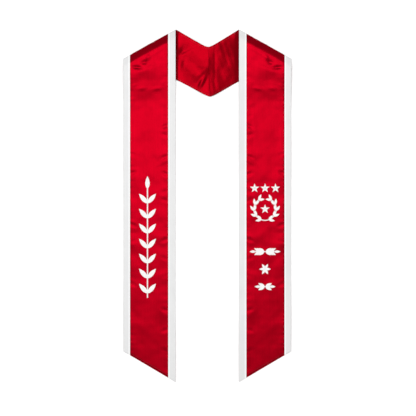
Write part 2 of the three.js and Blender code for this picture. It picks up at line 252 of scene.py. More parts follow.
# Long shallow waves along a band's edges: distance in from the outer edge, down, length, rise
edge_waves = [
    (125, 253.8, 93.1, 2.34),
    (0, 304.6, 101.5, 1.76),
    (0, 710.6, 84.6, 1.95),
    (125, 786.8, 76.1, 2.15),
]
wave_reach = 37.5  # a wave dies away this far from its edge


# %% Heights of the cloth's middle
profile_step = 0.5
profile_round = 1.7  # width of the bell that rounds the profile's corners
profile_end = (-2, 1)  # it ends between these distances past the inner edge of a band
neck_fade = (0.72, 0.98)  # shares of half the gap, where the neck strip's folds die away
fall_round = 0.12  # share of the fall over which it levels out
folds_start = 12  # a band's folds have their full height this far past the ridge
table_round = 0.3  # turns the cloth up where a fold would push it below the table


def strip_slant(x):
    """The strip's profile, with its corners rounded over a few millimetres"""
    even = np.arange(-100, 100, profile_step)
    bell = np.exp(-((np.arange(-8, 8 + profile_step, profile_step) / profile_round) ** 2))
    drawn = np.interp(even, strip_profile_x, strip_profile_height)
    return np.interp(x, even, np.convolve(drawn, bell / bell.sum(), mode="same"))


def neck_height(x, y, side):
    shows = 1 - smoothstep(x, inner_x * neck_fade[0], inner_x * neck_fade[1])
    folds = bells(side * x, peak_y - y, neck_folds)
    slants = 1 - smoothstep(x, inner_x + profile_end[0], inner_x + profile_end[1])
    return middle + shows * folds + slants * strip_slant(side * x)


def band_height(x, y, side):
    inward = (peak_y - (x - inner_x) * slope - y) * fold_cos
    past = lower_edge(x, side) - y
    lifted = middle + rest_lift * (1 - smoothstep(past, ease_near, ease_far))
    rising = spring_height + (inward - spring_inward) * spring_slope
    left_to_fall = (fall_inward - inward) / (fall_inward - ridge_inward)
    rest = np.minimum(1, (left_to_fall + np.hypot(left_to_fall, fall_round)) / 2)
    folds = bells(outer_x - x, peak_y - y, band_folds)
    clear = smoothstep(inward, ridge_inward, ridge_inward + folds_start)
    waves = 0 * folds
    for edge, down, length, rise in edge_waves:
        fade = np.maximum(0, 1 - np.abs(outer_x - x - edge) / wave_reach)
        waves = waves + rise * np.exp(-(((peak_y - y - down) / length) ** 2)) * fade**2
    falling = lifted + (ridge_height - lifted) * rest + clear * folds + (1 - rest) * waves
    return higher_of(lower_of(rising, falling, ridge_round * spring_slope), middle, table_round)


# %% [markdown]
# ## One strip from hem to seam
#
# The strip is sampled in rows, from the hem over the shoulder and back to the seam, and each row
# in shares of the width. Rows lie 3 mm apart down the band and closer where the cloth turns.
# Every layer of a half is an offset of this one sheet of points, so face and lining never cross.

# %% Row spacing
hanging_step = 3.0
swell_step = 1.5
fine_inward = 112  # rows lie closer from here up to the fold
neck_rows = 96
crease_rows = 14
closed_seam = 0.06  # the two halves all but touch at the seam behind the neck
hem_steps = [0, 0.25, 0.7, 1.4, 2.4, 3.8]  # closer where the hem is rolled
seam_share = 0.998  # one more row close to the seam, so that the shading turns down only there


def strip(side, shares):
    """Points of the cloth's middle, rows x shares x 3, and how far each row lies from the hem

    That distance stops growing at the swell below the shoulder.
    """
    b = np.asarray(shares, float)[None, :]
    x = outer_x + (inner_x - outer_x) * b
    fall = fine_inward / fold_cos
    reach = peak_y - fall - point_y
    even = np.linspace(hem_steps[-1], reach, int(reach / hanging_step))[1:]
    down = np.concatenate([hem_steps, even])[:, None]
    t = down / reach
    start = outer_hem_y + (point_y - outer_hem_y) * b
    end = (corner_y - fall) + (peak_y - corner_y) * b
    y = start + (end - start) * t
    hanging = np.stack([x + 0 * y, y, band_height(x, y, side)], axis=2)

    inward = np.arange(fine_inward - swell_step, spring_inward + swell_step / 2, -swell_step)[:, None]
    y = corner_y + (peak_y - corner_y) * b - inward / fold_cos
    swell = np.stack([x + 0 * y, y, band_height(x, y, side)], axis=2)

    angle = np.linspace(spring_angle, math.pi, crease_rows, endpoint=False)[:, None]
    inward = middle + crease_radius * (1 - np.sin(angle))
    turned = (angle - spring_angle) / (math.pi - spring_angle)
    along = spring_inward * slope - (spring_inward * slope + crease_slip) * turned
    height = middle + crease_radius * (1 + np.cos(angle))
    crease_x = x + along * fold_cos - inward * fold_sin
    crease_y = peak_y - (x - inner_x) * slope - along * fold_sin - inward * fold_cos
    crease = np.stack([crease_x, crease_y, height + 0 * x], axis=2)

    share = np.concatenate([np.linspace(0, seam_share, neck_rows - 1), [1]])[:, None]
    half_gap = closed_seam / 2
    low_x = outer_x - crease_run + (side * point_shift + half_gap - outer_x + crease_run) * share
    top_x = inner_x - crease_run + (side * notch_shift + half_gap - inner_x + crease_run) * share
    low_y = lower_edge(low_x, side)
    top_y = upper_edge(top_x, side)
    x = low_x + (top_x - low_x) * b
    y = low_y + (top_y - low_y) * b
    neck = np.stack([x, y, neck_height(x, y, side)], axis=2)
    from_hem = np.concatenate([down[:, 0], np.full(len(swell) + crease_rows + neck_rows, reach)])
    return np.concatenate([hanging, swell, crease, neck]), from_hem


def row_direction(points):
    """Which way the cloth runs at each row: the unit steps before and after it, added"""
    ahead = np.diff(points, axis=0)
    ahead = ahead / np.linalg.norm(ahead, axis=2, keepdims=True)
    first = np.concatenate([ahead[:1], ahead])
    last = np.concatenate([ahead, ahead[-1:]])
    return first + last


def strip_normals(side, shares):
    """Unit normals of the strip, on the side of the satin face"""
    nudge = 0.01
    b = np.asarray(shares, float)
    across = strip(side, b + nudge)[0] - strip(side, b - nudge)[0]
    normal = -np.cross(across, row_direction(strip(side, b)[0]))
    return normal / np.linalg.norm(normal, axis=2, keepdims=True)


# %% [markdown]
# ## Layers of cloth
#
# A layer is a closed skin round the strip's points: an upper sheet, a lower sheet and thin walls,
# with edges that round off as turned satin does. Solidify could give the wall, but here the upper
# sheet also carries relief that the lower one lacks: the satin sinks at each seam, is drawn into
# small puckers by the thread, and lies a little unevenly.


# %% A closed layer as a mesh with a UV map in metres
edge_steps = [0, 0.2, 0.5, 1.1]  # columns lie closer where an edge is rounded
edge_turn = 0.95  # at 1 a rounded edge would come down to a sharp rim


def rounding(distance, radius):
    """Share of the full height at a distance in from a rounded edge"""
    t = np.clip(1 - distance / radius, 0, 1)
    return np.sqrt(1 - (t * edge_turn) ** 2)


def layer(name, side, low_share, high_share, low, high, columns, relief, material):
    """Cloth between two shares of the width and two heights over the strip, with relief outside"""
    width = (high_share - low_share) * panel_width
    edge_round = (high - low) / 2
    edge = np.array(edge_steps) / width
    inside = np.linspace(edge[-1], 1 - edge[-1], columns)[1:-1]
    local = np.concatenate([edge, inside, 1 - edge[::-1]])
    shares = low_share + (high_share - low_share) * local
    points, from_hem = strip(side, shares)
    normals = strip_normals(side, shares)
    from_edge = np.minimum(local, 1 - local)[None, :] * width
    round_off = rounding(from_edge, edge_round) * rounding(from_hem, edge_round)[:, None]
    centre = (low + high) / 2
    from_outer = (shares * panel_width)[None, :]
    extra = relief(points, from_outer, from_hem[:, None], side)
    top = centre + round_off * (edge_round + (extra if centre > 0 else 0))
    bottom = centre - round_off * (edge_round + (extra if centre < 0 else 0))
    upper = points + normals * top[:, :, None]
    lower = points + normals * bottom[:, :, None]

    rows, cols = points.shape[:2]
    vertices = np.concatenate([upper.reshape(-1, 3), lower.reshape(-1, 3)]) * MM
    vertices[:, 0] *= side
    at = np.arange(rows * cols).reshape(rows, cols)
    under = at + rows * cols
    quads = [
        np.stack([at[:-1, :-1], at[1:, :-1], at[1:, 1:], at[:-1, 1:]], axis=2).reshape(-1, 4),
        np.stack([under[:-1, :-1], under[:-1, 1:], under[1:, 1:], under[1:, :-1]], axis=2).reshape(-1, 4),
        np.stack([at[:-1, 0], under[:-1, 0], under[1:, 0], at[1:, 0]], axis=1),
        np.stack([at[:-1, -1], at[1:, -1], under[1:, -1], under[:-1, -1]], axis=1),
        np.stack([at[0, :-1], at[0, 1:], under[0, 1:], under[0, :-1]], axis=1),
        np.stack([at[-1, :-1], under[-1, :-1], under[-1, 1:], at[-1, 1:]], axis=1),
    ]
    faces = np.concatenate(quads)
    if side < 0:
        faces = faces[:, ::-1]
    along = np.linalg.norm(np.diff(points, axis=0), axis=2).cumsum(axis=0)
    along = np.concatenate([np.zeros((1, cols)), along])
    flat = np.stack([from_outer + 0 * along, along], axis=2).reshape(-1, 2) * MM
    mesh = bpy.data.meshes.new(name)
    mesh.from_pydata(vertices.tolist(), [], faces.tolist())
    uv = mesh.uv_layers.new(name="cloth")
    uv.data.foreach_set("uv", np.concatenate([flat, flat])[faces.ravel()].ravel())
    mesh.polygons.foreach_set("use_smooth", [True] * len(faces))
    mesh.materials.append(material)
    mesh.update()
    piece = bpy.data.objects.new(name, mesh)
    bpy.context.scene.collection.objects.link(piece)
    length = along[-1].max() * MM
    area = float(((along[-1, 1:] + along[-1, :-1]) / 2 * np.diff(from_outer[0])).sum()) * MM * MM
    return piece, (width * MM, float(length)), area


# %% [markdown]
# ## Colour and finish
#
# Satin is woven with long floating warp threads, so it is smooth along them and grooved across
# them. Light from one side comes back as a streak across the threads: that is anisotropy, and the
# tangent for it comes from the cloth's own UV map. Dyed polyester also colours what it reflects,
# so the specular tint is red. Principled BSDF holds all of it with plain values on its sockets.


# %% Colour and node helpers
def to_linear(code):
    """A linear colour from an sRGB hex code"""
    channels = [int(code[i : i + 2], 16) / 255 for i in (1, 3, 5)]
    linear = [c / 12.92 if c <= 0.04045 else ((c + 0.055) / 1.055) ** 2.4 for c in channels]
    return (*linear, 1.0)


def add(tree, kind, inputs=None, **settings):
    """Adds a node, with its settings and with values or links on its inputs"""
    node = tree.nodes.new(kind)
    for name, value in settings.items():
        setattr(node, name, value)
    for name, value in (inputs or {}).items():
        if isinstance(value, bpy.types.NodeSocket):
            tree.links.new(value, node.inputs[name])
        else:
            node.inputs[name].default_value = value
    return node


def new_material(name):
    material = bpy.data.materials.new(name)
    material.use_nodes = True
    material.node_tree.nodes.clear()
    return material, material.node_tree


# %% Satin of any colour
streak_width = 1.54  # millimetres: drawn coarser than the real 0.1 mm threads, so that they show
streak_length = 83.3
patch_size = 38.5  # of slightly uneven dye
weave_range = (0.12, 0.42)  # product of streaks and patches, from the dark colour to the base


def stripes(tree, cloth, edges_mm):
    """1 within pairs of distances from the cloth's outer edge and 0 elsewhere, from its UV map"""
    across = add(tree, "ShaderNodeSeparateXYZ", {"Vector": cloth}).outputs["X"]
    total = None
    for low, high in edges_mm:
        middle_m, half_m = (low + high) / 2 * MM, (high - low) / 2 * MM
        inside = add(
            tree, "ShaderNodeMath", {0: across, 1: middle_m, 2: half_m}, operation="COMPARE"
        ).outputs[0]
        if total is None:
            total = inside
        else:
            total = add(tree, "ShaderNodeMath", {0: total, 1: inside}, operation="MAXIMUM").outputs[0]
    return total


def satin(name, base, dark, tint, gloss, specular, roughness, anisotropic, relief_mm, welt_highlight=None):
    """Woven satin: bright warp streaks over faint patches, and if asked a painted highlight: welt stripes
    painted a lighter colour
    """
    material, tree = new_material(name)
    cloth = add(tree, "ShaderNodeUVMap", uv_map="cloth").outputs["UV"]
    scale = (1 / (streak_width * MM), 1 / (streak_length * MM), 1)
    warp = add(tree, "ShaderNodeMapping", {"Vector": cloth, "Scale": scale}).outputs["Vector"]
    streaks = add(tree, "ShaderNodeTexNoise", {"Vector": warp, "Scale": 1.0, "Detail": 3.0}).outputs["Fac"]
    patches = add(
        tree, "ShaderNodeTexNoise", {"Vector": cloth, "Scale": 1 / (patch_size * MM), "Detail": 2.0}
    ).outputs["Fac"]
    mixed = add(tree, "ShaderNodeMath", {0: streaks, 1: patches}, operation="MULTIPLY").outputs["Value"]
    ramp = add(
        tree,
        "ShaderNodeMapRange",
        {"Value": mixed, "From Min": weave_range[0], "From Max": weave_range[1]},
    ).outputs["Result"]
    colour = add(
        tree,
        "ShaderNodeMix",
        {"Factor": ramp, 6: to_linear(dark), 7: to_linear(base)},
        data_type="RGBA",
    ).outputs[2]
    # The welt stripes get a lighter colour: a painted highlight along the trim's fold
    if welt_highlight:
        edges_mm, code = welt_highlight
        in_welt_highlight = stripes(tree, cloth, edges_mm)
        colour = add(
            tree, "ShaderNodeMix", {"Factor": in_welt_highlight, 6: colour, 7: to_linear(code)}, data_type="RGBA"
        ).outputs[2]
    bump = add(
        tree, "ShaderNodeBump", {"Height": streaks, "Distance": relief_mm * MM, "Strength": 1.0}
    ).outputs["Normal"]
    tangent = add(tree, "ShaderNodeTangent", direction_type="UV_MAP", uv_map="cloth").outputs["Tangent"]
    shader = add(
        tree,
        "ShaderNodeBsdfPrincipled",
        {
            "Base Color": colour,
            "Metallic": gloss,
            "Roughness": roughness,
            "Specular IOR Level": specular,
            "Specular Tint": to_linear(tint),
            "Anisotropic": anisotropic,
            "Tangent": tangent,
            "Normal": bump,
        },
    )
    add(tree, "ShaderNodeOutputMaterial", {"Surface": shader.outputs["BSDF"]})
    return material


# Woven from dyed filament with long floats: a dark red body under a bright red shine
red_satin = satin(
    "red polyester satin",
    base="#880011",
    dark="#7c000e",
    tint="#ff2038",
    gloss=0.4,
    specular=0.2,
    roughness=0.31,
    anisotropic=0.6,
    relief_mm=0.03,
)
# The same weave in a lighter cloth, a shade darker and less streaked
red_lining = satin(
    "red lining satin",
    base="#80000d",
    dark="#74000a",
    tint="#ff1c30",
    gloss=0.38,
    specular=0.2,
    roughness=0.29,
    anisotropic=0.5,
    relief_mm=0.03,
)
# White satin scatters most of its light, so its shine hardly shows. Its welts are raised in the relief, and
# their lighter white is a painted highlight along the fold
inner_trim_start = panel_width - inner_trim
welt_highlight_edges = [(outer_trim - welt_highlight_width, outer_trim), (inner_trim_start, inner_trim_start + welt_highlight_width)]
white_satin = satin(
    "white satin band",
    base="#d7d7d7",
    dark="#d2d2d2",
    tint="#ffffff",
    gloss=0.0,
    specular=0.3,
    roughness=0.5,
    anisotropic=0.3,
    relief_mm=0.04,
    # the welts' lighter white is a painted highlight
    welt_highlight=(welt_highlight_edges, "#e9e9e9"),
)
print("materials:", [m.name for m in bpy.data.materials])

# %% [markdown]
# ## Face, trims and lining
#
# Eight pieces of cloth, four to a half. The relief functions say how each one lies: the satin face
# sinks at its two seams and puckers there, a trim has a slightly raised welt beside the satin, and
# the lining is only softly uneven.

# %% Sizes of the relief, in millimetres
satin_waves = [(0.22, 60, 11), (0.07, 24, 12)]  # height, wavelength, seed
lining_waves = [(0.16, 42, 13), (0.08, 18, 15)]
neck_calm = 0.65  # share of the satin's waves that the neck strip lacks
neck_start = 12  # over this distance past a band's inner edge
crinkle = 0.07  # on the left neck strip's satin, which faces down there, so it is seen only from below
crinkle_length = 11
crinkle_stretch = 0.45
pucker = 0.2
pucker_pitch = 9.0
pucker_drift = 80.0
pucker_reach = 7.0
seam_sink = 0.5
seam_sink_reach = 2.5
face_hem_roll = 0.8
face_hem_reach = 6
lining_roll = 0.4
lining_roll_reach = 1.8
lining_slack = 0.1
edge_stitch = 5.0  # the lining's edges are stitched down this far in
stitch_groove = 0.2
stitch_groove_width = 1.2
welt_rise = 0.35
welt_top = 1.8  # from the seam
welt_spread = 1.5
trim_wave = 0.12
trim_wavelength = 45
trim_hem_roll = 0.3
trim_hem_reach = 4


# %% Relief of each kind of cloth
def waves_of(x, y, table):
    return sum(height * ripples(x, y, wavelength, seed) for height, wavelength, seed in table)


def seam_puckers(down, seed):
    """Small gathers along a seam, stronger in some places than in others"""
    drift = ripples(down, 0 * down, pucker_drift, seed + 1)
    return ripples(down, 0 * down, pucker_pitch, seed) * (0.55 + 0.45 * drift)


def satin_relief(points, from_outer, from_hem, side):
    x = outer_x - points[:, :, 0]
    y = peak_y - points[:, :, 1]
    from_trim = from_outer - outer_trim
    to_trim = panel_width - inner_trim - from_outer
    sunk = seam_sink * (np.exp(-from_trim / seam_sink_reach) + np.exp(-to_trim / seam_sink_reach))
    gathers = seam_puckers(y, 3) * np.exp(-from_trim / pucker_reach)
    gathers = gathers + seam_puckers(y, 5) * np.exp(-to_trim / pucker_reach)
    on_neck = smoothstep(x, panel_width, panel_width + neck_start)
    uneven = waves_of(x, y, satin_waves) * (1 - neck_calm * on_neck)
    if side < 0:
        uneven = uneven + crinkle * on_neck * ripples(x * crinkle_stretch, y, crinkle_length, 17)
    rolled = face_hem_roll * (1 - smoothstep(from_hem, 0, face_hem_reach))
    return uneven + pucker * gathers - sunk - rolled


def lining_relief(points, from_outer, from_hem, side):
    x = outer_x - points[:, :, 0]
    y = peak_y - points[:, :, 1]
    from_edge = np.minimum(from_outer, panel_width - from_outer)
    rolled = lining_roll * np.exp(-from_edge / lining_roll_reach)
    drawn_in = stitch_groove * np.exp(-(((from_edge - edge_stitch) / stitch_groove_width) ** 2))
    return waves_of(x, y, lining_waves) - rolled - drawn_in - lining_slack


def trim_relief(points, from_outer, from_hem, side):
    y = peak_y - points[:, :, 1]
    from_seam = np.minimum(np.abs(from_outer - outer_trim), np.abs(panel_width - inner_trim - from_outer))
    welt = welt_rise * np.exp(-(((from_seam - welt_top) / welt_spread) ** 2))
    rolled = trim_hem_roll * (1 - smoothstep(from_hem, 0, trim_hem_reach))
    return welt + trim_wave * ripples(y, 0 * y, trim_wavelength, 7) - rolled


# %% Make the eight pieces
face_low = ply_gap / 2
face_high = stack / 2
outer_seam = outer_trim / panel_width
inner_seam = 1 - inner_trim / panel_width
half_seam = seam_gap / 2 / panel_width

cloth_pieces = [
    # name, shares of the width, heights over the middle, columns, relief, material, slot
    ("face", outer_seam + half_seam, inner_seam - half_seam, face_low, face_high, 46,
     satin_relief, red_satin, "red_satin"),
    ("lining", 0, 1, -face_high, -face_low, 36, lining_relief, red_lining, "red_lining"),
    ("outer_trim", 0, outer_seam - half_seam, face_low, face_high, 9,
     trim_relief, white_satin, "white_satin"),
    ("inner_trim", inner_seam + half_seam, 1, face_low, face_high, 9,
     trim_relief, white_satin, "white_satin"),
]
made = {}
for half, side in (("left", -1), ("right", 1)):
    for kind, low_share, high_share, low, high, columns, relief, material, slot in cloth_pieces:
        node = half + "_" + kind
        piece, flat, area = layer(
            node + "_cloth", side, low_share, high_share, low, high, columns, relief, material
        )
        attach(piece, "root")
        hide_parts(node, half + "_neck_" + kind)
        made[node] = piece
        print(piece.name, "faces:", len(piece.data.polygons), "flat:", [round(x, 3) for x in flat])

# %% [markdown]
# ## Machine stitches along the edges
#
# On the real stole a line of running stitches holds each trim down, and another keeps the turned
# hem flat. A stitch is a short thread that dips at both ends, so it is made once, shaped like a
# grain of rice, and Geometry Nodes sets a copy on every pitch of the line: Curve to Points, then
# Instance on Points. Realize Instances makes real faces of the copies at the end.


# %% Helpers for Geometry Nodes
def new_tree(name, inputs):
    """A modifier tree with named inputs; gives the tree, its input sockets and their identifiers"""
    tree = bpy.data.node_groups.new(name, "GeometryNodeTree")
    tree.is_modifier = True
    tree.interface.new_socket(name="Geometry", in_out="INPUT", socket_type="NodeSocketGeometry")
    identifiers = {}
    for label, kind in inputs:
        socket = tree.interface.new_socket(name=label, in_out="INPUT", socket_type="NodeSocket" + kind)
        identifiers[label] = socket.identifier
    tree.interface.new_socket(name="Geometry", in_out="OUTPUT", socket_type="NodeSocketGeometry")
    return tree, add(tree, "NodeGroupInput").outputs, identifiers


def finish_tree(tree, instances, material):
    """Real faces, smooth, with their material"""
    real = add(tree, "GeometryNodeRealizeInstances", {"Geometry": instances}).outputs["Geometry"]
    smooth = add(tree, "GeometryNodeSetShadeSmooth", {0: real}).outputs[0]
    done = add(tree, "GeometryNodeSetMaterial", {"Geometry": smooth, "Material": material}).outputs
    add(tree, "NodeGroupOutput", {"Geometry": done["Geometry"]})


def grown(name, guide, tree, identifiers, values):
    """Runs a tree on a guide mesh and keeps the result as a plain mesh"""
    piece = bpy.data.objects.new(name, guide)
    bpy.context.scene.collection.objects.link(piece)
    modifier = piece.modifiers.new(tree.name, "NODES")
    modifier.node_group = tree
    for label, value in values.items():
        modifier[identifiers[label]] = value
    evaluated = piece.evaluated_get(bpy.context.evaluated_depsgraph_get())
    mesh = bpy.data.meshes.new_from_object(evaluated)
    piece.modifiers.clear()
    piece.data = mesh
    mesh.name = name
    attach(piece, "root")
    return piece


# %% The tree for running stitches
stitch_tree, given, stitch_sockets = new_tree(
    "running stitches",
    [("Pitch", "Float"), ("Length", "Float"), ("Thickness", "Float"), ("Thread", "Material")],
)
line = add(stitch_tree, "GeometryNodeMeshToCurve", {"Mesh": given["Geometry"]}).outputs["Curve"]
places = add(
    stitch_tree, "GeometryNodeCurveToPoints", {"Curve": line, "Length": given["Pitch"]}, mode="LENGTH"
).outputs
grain = add(
    stitch_tree, "GeometryNodeMeshUVSphere", {"Segments": 6, "Rings": 5, "Radius": 0.5}
).outputs["Mesh"]
size = add(
    stitch_tree,
    "ShaderNodeCombineXYZ",
    {"X": given["Thickness"], "Y": given["Thickness"], "Z": given["Length"]},
).outputs["Vector"]
stitches = add(
    stitch_tree,
    "GeometryNodeInstanceOnPoints",
    {"Points": places["Points"], "Instance": grain, "Rotation": places["Rotation"], "Scale": size},
).outputs["Instances"]
finish_tree(stitch_tree, stitches, given["Thread"])


# %% Where the lines run
def sewn_line(side, from_outer, outside, height):
    """Points along the strip at one distance in from its outer edge, on one face of the cloth"""
    share = [from_outer / panel_width]
    points, from_hem = strip(side, share)
    line = points + strip_normals(side, share) * outside * height
    line = line[from_hem > hem_stitch, 0]
    return line * (side, 1, 1)


def hem_line(side, first, last, height):
    """Points along the hem, from one distance in from the outer edge to another"""
    shares = np.linspace(first, last, hem_points) / panel_width
    points, from_hem = strip(side, shares)
    row = int(np.argmin(np.abs(from_hem - hem_stitch)))
    line = points[row] + strip_normals(side, shares)[row] * height
    return line * (side, 1, 1)


def guide_mesh(name, lines):
    vertices, edges = [], []
    for line in lines:
        start = len(vertices)
        vertices.extend((line * MM).tolist())
        edges.extend((start + i, start + i + 1) for i in range(len(line) - 1))
    mesh = bpy.data.meshes.new(name)
    mesh.from_pydata(vertices, edges, [])
    return mesh


hem_stitch = 6.0
hem_points = 24
trim_stitch = 1.6  # from the seam beside the red
border_stitch = 2.4  # from the stole's edge
red_margin = 2  # the red hem's stitches stop this far from the trims
stitch_height = stack / 2 + 0.05
on_welt = 0.25  # stitches on the welts lie this much higher
stitch_pitch = 3.6
stitch_length = 3.0
stitch_thickness = 0.5


# %% Threads
def thread(name, code, roughness):
    """Twisted thread: smooth and bright, with a soft sheen at its sides"""
    material, tree = new_material(name)
    shader = add(
        tree,
        "ShaderNodeBsdfPrincipled",
        {"Base Color": to_linear(code), "Roughness": roughness, "Sheen Weight": 0.1},
    )
    add(tree, "ShaderNodeOutputMaterial", {"Surface": shader.outputs["BSDF"]})
    return material


white_thread = thread("white rayon thread", "#eaeae8", 0.4)
white_sewing = thread("white sewing thread", "#e4e4e4", 0.5)
red_sewing = thread("red sewing thread", "#8c000a", 0.5)

# %% Sew both halves
for half, side in (("left", -1), ("right", 1)):
    white_lines = [
        sewn_line(side, border_stitch, 1, stitch_height),
        sewn_line(side, outer_trim - trim_stitch, 1, stitch_height + on_welt),
        sewn_line(side, inner_trim_start + trim_stitch, 1, stitch_height + on_welt),
        sewn_line(side, panel_width - border_stitch, 1, stitch_height),
        hem_line(side, border_stitch, outer_trim - trim_stitch, stitch_height),
        hem_line(side, inner_trim_start + trim_stitch, panel_width - border_stitch, stitch_height),
    ]
    red_lines = [
        sewn_line(side, edge_stitch, -1, stitch_height - stitch_groove),
        sewn_line(side, panel_width - edge_stitch, -1, stitch_height - stitch_groove),
        hem_line(side, outer_trim + red_margin, inner_trim_start - red_margin, stitch_height),
    ]
    for kind, lines, material, slot in (
        ("white", white_lines, white_sewing, "white_thread"),
        ("red", red_lines, red_sewing, "red_satin"),
    ):
        name = f"{half}_{kind}_stitches"
        guide = guide_mesh(name + "_line", lines)
        values = {
            "Pitch": stitch_pitch * MM,
            "Length": stitch_length * MM,
            "Thickness": stitch_thickness * MM,
            "Thread": material,
        }
        piece = grown(name, guide, stitch_tree, stitch_sockets, values)
        print(name, "faces:", len(piece.data.polygons))

# %% [markdown]
# ## Embroidery
#
# Machine embroidery is satin stitch: threads laid side by side across a leaf, from its vein to
# its edge, so close that no cloth shows. A bumped plate would give the outline only. Here each
# thread is a real arch of yarn. Points run along the vein and carry the thread's direction, its
# reach and its lean, and Geometry Nodes sets one thread to the left and one to the right of each.

# %% The tree for satin stitch
satin_tree, given, satin_sockets = new_tree(
    "satin stitch",
    [("Thickness", "Float"), ("Arch", "Float"), ("Thread", "Material"), ("Seed", "Int")],
)
past_vein = 0.16  # share of its reach by which a thread starts beyond the vein
thread_sizes = (0.88, 1.08)  # smallest and largest, as threads vary
span = add(
    satin_tree, "GeometryNodeCurvePrimitiveLine", {"Start": (-past_vein, 0, 0), "End": (1, 0, 0)}
).outputs["Curve"]
span = add(satin_tree, "GeometryNodeResampleCurve", {"Curve": span, "Count": 6}).outputs["Curve"]
where = add(satin_tree, "GeometryNodeInputPosition").outputs["Position"]
along = add(satin_tree, "ShaderNodeSeparateXYZ", {"Vector": where}).outputs["X"]
half_turn = add(satin_tree, "ShaderNodeMath", {0: along, 1: math.pi}, operation="MULTIPLY").outputs[0]
bow = add(satin_tree, "ShaderNodeMath", {0: half_turn}, operation="SINE").outputs[0]
lift = add(satin_tree, "ShaderNodeMath", {0: bow, 1: given["Arch"]}, operation="MULTIPLY").outputs[0]
raised = add(satin_tree, "ShaderNodeCombineXYZ", {"Z": lift}).outputs["Vector"]
span = add(satin_tree, "GeometryNodeSetPosition", {"Geometry": span, "Offset": raised}).outputs["Geometry"]
yarn_radius = add(
    satin_tree, "ShaderNodeMath", {0: given["Thickness"], 1: 0.5}, operation="MULTIPLY"
).outputs[0]
ring = add(
    satin_tree, "GeometryNodeCurvePrimitiveCircle", {"Resolution": 5, "Radius": yarn_radius}
).outputs["Curve"]
yarn = add(
    satin_tree, "GeometryNodeCurveToMesh", {"Curve": span, "Profile Curve": ring, "Fill Caps": True}
).outputs["Mesh"]


def stored(name):
    node = add(satin_tree, "GeometryNodeInputNamedAttribute", {"Name": name}, data_type="FLOAT")
    return node.outputs["Attribute"]


uneven = add(
    satin_tree,
    "FunctionNodeRandomValue",
    {2: thread_sizes[0], 3: thread_sizes[1], "Seed": given["Seed"]},
    data_type="FLOAT",
).outputs[1]
yarn_size = add(
    satin_tree, "ShaderNodeCombineXYZ", {"X": stored("reach"), "Y": uneven, "Z": uneven}
).outputs["Vector"]
both = add(satin_tree, "GeometryNodeJoinGeometry")
for operation in ("ADD", "SUBTRACT"):
    turn = add(
        satin_tree, "ShaderNodeMath", {0: stored("heading"), 1: stored("lean")}, operation=operation
    ).outputs[0]
    euler = add(satin_tree, "ShaderNodeCombineXYZ", {"Z": turn}).outputs["Vector"]
    rotation = add(satin_tree, "FunctionNodeEulerToRotation", {"Euler": euler}).outputs["Rotation"]
    one_side = add(
        satin_tree,
        "GeometryNodeInstanceOnPoints",
        {"Points": given["Geometry"], "Instance": yarn, "Rotation": rotation, "Scale": yarn_size},
    ).outputs["Instances"]
    satin_tree.links.new(one_side, both.inputs[0])
finish_tree(satin_tree, both.outputs[0], given["Thread"])

# %% Veins: rows of (x, y, heading, reach, lean), in millimetres and radians
thread_spacing = 0.75


def vein(outline_x, outline_y, x, y, heading, lean):
    """Stitches from a straight vein out to an edge, given as distance along it and half width"""
    starts = outline_x - outline_y / math.tan(lean)
    even = np.arange(starts[0] + thread_spacing / 2, starts[-1], thread_spacing)
    half = np.interp(even, starts, outline_y)
    at_x = x + even * math.cos(heading)
    at_y = y + even * math.sin(heading)
    ones = np.ones_like(even)
    return np.stack([at_x, at_y, heading * ones, half / math.sin(lean), lean * ones], axis=1)


leaf_lean = math.radians(52)
stem_lean = math.radians(66)
arm_lean = math.radians(62)
arm_waist = 0.42  # where a star's arms are widest, as a share of its radius
arm_tip = 0.15  # half width of their tips, in millimetres
t = np.linspace(0, 1, 60)


def leaf(x, y, heading, length, width):
    return vein(length * (0.8 * t + 0.2 * t * t), 2 * t * (1 - t) * width, x, y, heading, leaf_lean)


def star(x, y, radius):
    """Five arms, each widest about a third of the way out"""
    wide_x = arm_waist * radius * math.cos(math.pi / 5)
    wide_y = arm_waist * radius * math.sin(math.pi / 5)
    arms = []
    for i in range(5):
        heading = math.pi / 2 + i * 2 * math.pi / 5
        edge_x = np.array([0, wide_x, radius])
        edge_y = np.array([0, wide_y, arm_tip])
        arms.append(vein(edge_x, edge_y, x, y, heading, arm_lean))
    return np.concatenate(arms)


def stem(points, width):
    """Short stitches across a curved line of points"""
    steps = np.diff(points, axis=0)
    run = np.concatenate([[0], np.hypot(*steps.T).cumsum()])
    even = np.arange(thread_spacing / 2, run[-1], thread_spacing)
    x, y = (np.interp(even, run, points[:, i]) for i in (0, 1))
    heading = np.interp(even, (run[1:] + run[:-1]) / 2, np.unwrap(np.arctan2(steps[:, 1], steps[:, 0])))
    ones = np.ones_like(even)
    return np.stack([x, y, heading, width / 2 / math.sin(stem_lean) * ones, stem_lean * ones], axis=1)


# %% Motifs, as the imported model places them
def sprig(x, y, heading, length, pairs, leaf_size, thickness):
    """A straight stem with pairs of leaves and one at its tip"""
    long, wide, lean = leaf_size
    reach = length - long * 0.8
    pitch = (reach - long * 0.5) / pairs
    ahead = np.array([math.cos(heading), math.sin(heading)])
    base = np.array([x, y])
    rows = [stem(np.array([base, base + ahead * reach]), thickness)]
    rows.append(leaf(*(base + ahead * (length - long)), heading, long, wide))
    for i in range(pairs):
        for turn in (lean, -lean):
            rows.append(leaf(*(base + ahead * pitch * (i + 0.3)), heading + turn, long, wide))
    return np.concatenate(rows)


def lying_sprig(x, y, length, pairs):
    """Two short sprigs that grow apart from one place"""
    half = math.ceil(pairs / 2)
    arms = [sprig(x, y, turn, length / 2, half, bar_leaf, thin_stem) for turn in (0, math.pi)]
    return np.concatenate(arms)


